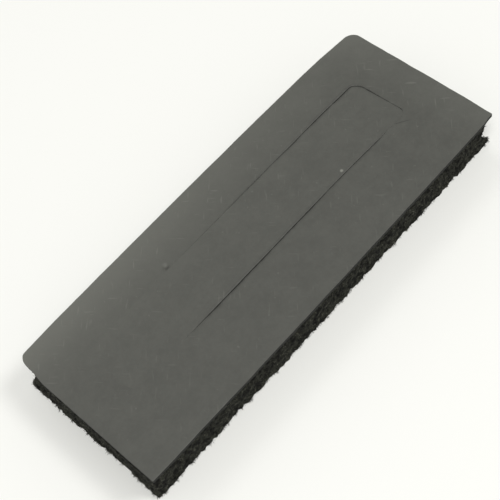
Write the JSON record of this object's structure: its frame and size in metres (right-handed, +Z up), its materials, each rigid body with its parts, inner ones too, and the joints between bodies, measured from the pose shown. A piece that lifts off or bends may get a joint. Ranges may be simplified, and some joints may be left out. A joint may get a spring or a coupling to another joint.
{
  "type": "chalkboard eraser",
  "caption": "Slim rectangular chalkboard eraser: a thick dark felt pad under a thin rubber backing sheet, with a flexible magnet strip set flush in the sheet.",
  "frame": {"origin": "centre of the footprint, on the surface that the felt's wiping face rests on", "axes": "+X along the length, +Y towards the long edge that the magnet strip is nearer to, +Z up through the backing sheet"},
  "size_m": [0.13, 0.0504, 0.016],
  "materials": {
    "felt": "matte needled felt, nearly black, with loose fibres",
    "adhesive": "dull clear glue film, dark over the black felt",
    "backing_rubber": "satin dark warm grey with fine specks and scratches",
    "magnet_rubber": "satin dark warm grey, ferrite-filled"
  },
  "bodies": {
    "root": {"felt_pad": "felt", "adhesive_film": "adhesive", "backing_sheet": "backing_rubber", "magnet_strip": "magnet_rubber"}
  },
  "joints": []
}
